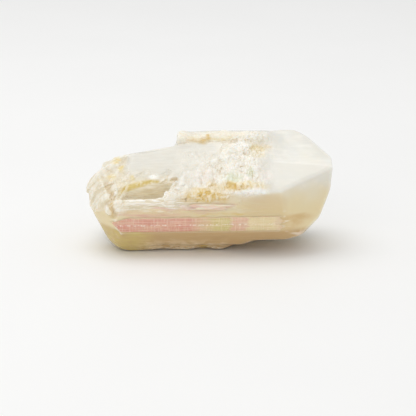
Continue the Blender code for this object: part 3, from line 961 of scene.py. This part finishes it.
def milky_quartz():
    graph = Graph("milky_quartz_crust")
    rough = graph.mask("rough")
    granular = graph.mask("granular")
    lumpy = graph.mask("lumpy")
    streaks = graph.noise(0.30, 3.0, (22.0, 1.0, 1.0))
    cloud = graph.noise(7.0, 3.0)
    wisps = graph.noise(2.4, 4.0, (2.0, 1.0, 1.0))
    specks = graph.noise(0.5, 2.0)
    smears = graph.noise(1.3, 4.0, (1.8, 1.0, 1.0))
    blotches = graph.between(smears, -0.35, 2.0)
    veins = graph.noise(0.5, 3.0, (14.0, 1.0, 1.0))
    dots = graph.noise(0.8, 1.0)
    strokes = graph.noise(0.45, 3.0, (1.0, 2.5, 4.0))
    sugar = graph.cells(0.55)

    def broken_up(name, pattern, low, high):
        """A stain, or a patch of painted shade or highlight, that breaks up into the pattern's lumps or
        streaks.
        """
        return graph.times(graph.mask(name), graph.ramp(pattern, low, high))

    # Painted shade in the hollows of the rough ground.
    pits = graph.times(graph.ramp(graph.mask("pits"), 0.15, 1.0), rough)

    # Each layer: where it lies, how strong it is at most, and its colour.
    layers = (
        (graph.ramp(wisps, 0.5, 0.66), 0.35, MILK),
        (graph.ramp(veins, 0.45, 0.7), 0.15, MILK),
        (graph.mask("band"), 0.6, BAND_GREY),
        (broken_up("band", veins, 0.6, 0.42), 0.5, BAND_GREY),
        # Painted shade on the bevel facet.
        (graph.mask("bevel_face_shade"), 0.6, BEVEL_SHADE_GREY),
        # Painted highlight along the crease between the top and the bevel.
        (graph.mask("crease"), 0.22, SNOW),
        # Painted shade and painted warm floor reflection, darker towards the bottom.
        (graph.mask("warm_shade"), 1.0, STRAW_TINT),
        (graph.mask("honey_shade"), 1.0, HONEY),
        (graph.times(graph.mask("olive_shade"), blotches), 0.9, OLIVE),
        (broken_up("chipped", smears, 0.36, 0.6), 0.5, PALE_CHIP),
        (broken_up("striated", streaks, 0.42, 0.62), 0.3, TAN),
        (graph.mask("brown"), 0.38, INNER_BROWN),
        # The tan strip, and the painted shadow in the wedge, broken into streaks.
        (broken_up("tan", streaks, 0.3, 0.55), 0.85, TAN),
        # The lip's cream tone, then white streaks painted on as its glassy highlights.
        (graph.mask("frost_and_glints"), 0.55, LIP_CREAM),
        (broken_up("frost_and_glints", streaks, 0.46, 0.62), 0.8, SNOW),
        (granular, 1.0, MILK),
        (broken_up("granular", sugar, 0.35, 0.75), 0.4, SAND),
        (broken_up("granular", strokes, 0.5, 0.68), 0.35, SAND),
        (broken_up("granular", strokes, 0.46, 0.3), 0.6, SNOW),
        (graph.mask("ridge"), 0.4, CREAM),
        (lumpy, 0.85, SAND),
        (broken_up("lumpy", graph.mask("shards"), 0.4, 0.65), 0.35, SNOW),
        # Painted shade darkens the crevice beside the lip.
        (graph.mask("crevice"), 0.7, PIT_SHADE_BROWN),
        # Painted shade in the notch: its recessed wall is greyed and its striae are darkened.
        (graph.mask("notch"), 1.0, NOTCH_SHADE_GREY),
        (broken_up("notch", streaks, 0.45, 0.6), 0.35, PIT_SHADE_BROWN),
        (graph.mask("mint"), 0.7, MINT),
        (broken_up("blush", specks, 0.4, 0.6), 0.5, BLUSH),
        (broken_up("rose", streaks, 0.3, 0.65), 0.9, ROSE_HAZE),
        (graph.mask("pencil_end"), 0.3, AMBER),
        (broken_up("pencil_end", wisps, 0.3, 0.62), 0.5, AMBER),
        (graph.times(graph.mask("yellow"), blotches), 0.9, YELLOW),
        (graph.times(graph.mask("ochre"), blotches), 0.95, OCHRE),
        (graph.mask("bevel"), 0.95, BEVEL_YELLOW),
        (broken_up("white", specks, 0.25, 0.5), 0.9, SNOW),
        (broken_up("specked", dots, 0.56, 0.68), 0.8, SPECK_BROWN),
        # Painted shade: hollows and broad dells darkened brown. Painted highlight: bumps lightened
        # white.
        (pits, 0.22, PIT_SHADE_BROWN),
        (graph.ramp(graph.mask("dells"), 0.2, 1.0), 0.22, PIT_SHADE_BROWN),
        (graph.ramp(graph.mask("pits"), -0.1, -0.6), 0.35, SNOW),
    )
    colour = graph.mix(graph.ramp(cloud, 0.35, 0.75), ICE, FROST)
    for where, amount, over in layers:
        colour = graph.tint(colour, where, amount, over)

    shine = graph.between(rough, 0.16, 0.42)
    grit = graph.bump(graph.times(specks, graph.mask("gritty")), 0.25, 0.8)
    ribs = graph.bump(graph.times(streaks, graph.mask("striated")), 0.08, 0.6, grit)
    ripples = graph.bump(wisps, 0.05, 0.5, ribs)
    return graph.finish(colour, shine, ripples, {
        "Subsurface Weight": 0.4, "Subsurface Scale": 2.5 * MM,
        "Subsurface Radius": (1.0, 0.85, 0.7), "IOR": 1.54})


DEEP_ROSE = srgb(210, 148, 128)
ROSE = srgb(213, 160, 135)
PALE_STREAK = srgb(242, 226, 196)
# White of the painted sheen along the pencil's middle.
SHEEN_WHITE = srgb(250, 240, 224)
ROSE_TAN = srgb(214, 184, 144)
PALE_ROSE = srgb(220, 178, 150)
STRAW_ROSE = srgb(224, 200, 164)
GREEN = srgb(207, 190, 128)
STRAW = srgb(224, 204, 158)
ORANGE = srgb(218, 184, 124)
LAVENDER = srgb(224, 186, 166)

PENCIL_WANDER = 3.0        # how far the zones' borders shift from rib to rib

# Colour along the pencil: where each zone starts to turn into the next, and what it turns to.
PENCIL_ZONES = (
    (-5.6, -1.2, ROSE_TAN),
    (-1.6, 1.6, GREEN),
    (4.4, 6.2, PALE_ROSE),
    (9.0, 10.2, STRAW),
    (16.4, 17.6, STRAW_ROSE),
    (18.2, 20.6, ORANGE),
)


def rubellite():
    graph = Graph("rubellite_zoned")
    split = graph.nodes.new("ShaderNodeSeparateXYZ")
    graph.links.new(graph.place, split.inputs["Vector"])
    streaks = graph.noise(0.20, 3.0, (30.0, 1.0, 1.0))
    broad = graph.noise(0.8, 2.0, (9.0, 1.0, 1.0))
    hatch = graph.noise(0.35, 3.0, (1.0, 7.0, 7.0))
    dashes = graph.noise(0.5, 2.0, (1.2, 1.0, 1.0))
    along = graph.math("ADD", split.outputs["X"], graph.times(broad, PENCIL_WANDER * MM))
    colour = graph.mix(graph.ramp(broad, 0.4, 0.62), DEEP_ROSE, ROSE)
    for start, end, zone_colour in PENCIL_ZONES:
        turn = [(x + PENCIL_WANDER / 2.0 - SHIFT.x) * MM for x in (start, end)]
        colour = graph.mix(graph.ramp(along, *turn), colour, zone_colour)
    colour = graph.tint(colour, graph.ramp(streaks, 0.5, 0.68), 0.32, PALE_STREAK)
    colour = graph.tint(colour, graph.ramp(hatch, 0.5, 0.7), 0.28, PALE_STREAK)
    # Painted sheen: broken white dashes along the middle of the front, in place of a highlight.
    line = graph.times(graph.mask("sheen_line"), graph.ramp(dashes, 0.47, 0.62))
    colour = graph.tint(colour, line, 0.7, SHEEN_WHITE)
    rim = graph.times(graph.mask("rim"), graph.ramp(streaks, 0.25, 0.5))
    colour = graph.tint(colour, rim, 1.0, TAN)
    shine = graph.between(streaks, 0.14, 0.4)
    ribs = graph.bump(streaks, 0.10, 0.8)
    cracks = graph.bump(hatch, 0.04, 0.5, ribs)
    return graph.finish(colour, shine, cracks, {
        "Subsurface Weight": 0.15, "Subsurface Scale": 1.0 * MM,
        "Coat Weight": 0.2, "Coat Roughness": 0.15, "IOR": 1.63})


def pale_rubellite():
    graph = Graph("rubellite_pale")
    streaks = graph.noise(0.22, 3.0, (16.0, 1.0, 1.0))
    patches = graph.noise(0.7, 2.0, (7.0, 1.0, 1.0))
    colour = graph.mix(graph.ramp(patches, 0.35, 0.65), LAVENDER, CREAM)
    colour = graph.tint(colour, graph.ramp(streaks, 0.45, 0.7), 0.6, MILK)
    rim = graph.times(graph.mask("rim"), graph.ramp(streaks, 0.3, 0.5))
    colour = graph.tint(colour, rim, 1.0, TAN)
    shine = graph.between(streaks, 0.2, 0.5)
    normal = graph.bump(streaks, 0.06, 0.6)
    return graph.finish(colour, shine, normal, {
        "Subsurface Weight": 0.25, "Subsurface Scale": 1.0 * MM, "IOR": 1.63})


def pale_floor():
    graph = Graph("studio_floor")
    colour = graph.mix(graph.noise(60.0), srgb(243, 243, 242), srgb(246, 246, 245))
    return graph.finish(colour, 0.6, graph.bump(graph.noise(3.0), 0.02, 0.2), {})


# ---------------------------------------------------------------- stage, lights and camera

def build_floor():
    bm = bmesh.new()
    bmesh.ops.create_grid(bm, x_segments=1, y_segments=1, size=FLOOR_REACH)
    mesh = bpy.data.meshes.new("floor")
    bm.to_mesh(mesh)
    bm.free()
    mesh.materials.append(pale_floor())
    floor = bpy.data.objects.new("floor", mesh)
    bpy.context.scene.collection.objects.link(floor)


def add_area_light(name, place, size, power, colour):
    light = bpy.data.lights.new(name, "AREA")
    light.size = size
    light.energy = power
    light.color = colour
    obj = bpy.data.objects.new(name, light)
    obj.location = place
    obj.rotation_euler = (-Vector(place)).to_track_quat("-Z", "Y").to_euler()
    bpy.context.scene.collection.objects.link(obj)


def light_studio():
    world = bpy.data.worlds.new("studio")
    world.use_nodes = True
    background = world.node_tree.nodes["Background"]
    background.inputs["Color"].default_value = (1.0, 1.0, 1.0, 1.0)
    background.inputs["Strength"].default_value = WORLD_LIGHT
    bpy.context.scene.world = world
    for light in AREA_LIGHTS:
        add_area_light(*light)
    bpy.context.scene.view_settings.view_transform = "Standard"


def place_camera():
    camera = bpy.data.cameras.new("camera")
    camera.lens = CAMERA_LENS
    camera.sensor_width = SENSOR
    obj = bpy.data.objects.new("camera", camera)
    elevation = math.radians(CAMERA_ELEVATION)
    back = Vector((0, -math.cos(elevation), math.sin(elevation)))
    obj.location = (CAMERA_AIM - SHIFT + back * CAMERA_DISTANCE) * MM
    obj.rotation_euler = (-back).to_track_quat("-Z", "Y").to_euler()
    camera.clip_start = 0.01
    camera.clip_end = 20.0
    bpy.context.scene.collection.objects.link(obj)
    bpy.context.scene.camera = obj


def main():
    noise.seed_set(NOISE_SEED)
    place_camera()
    build_floor()
    light_studio()
    pencil = tourmaline_bmesh(PENCIL)
    sliver = tourmaline_bmesh(SLIVER)
    mesh, zones = quartz_mesh([(bed_bmesh(PENCIL, pencil, pencil_lap), PENCIL, pencil_lap),
                               (bed_bmesh(SLIVER, sliver, sliver_lap), SLIVER, sliver_lap)])
    add_quartz_masks(mesh, zones)
    add_piece("milky_quartz", mesh, milky_quartz(), "quartz_crystal")
    mesh = tourmaline_mesh("pencil", PENCIL, pencil, pencil_lap)
    add_piece("pencil", mesh, rubellite(), PENCIL["node"])
    mesh = tourmaline_mesh("sliver", SLIVER, sliver, sliver_lap)
    add_piece("sliver", mesh, pale_rubellite(), SLIVER["node"])


main()
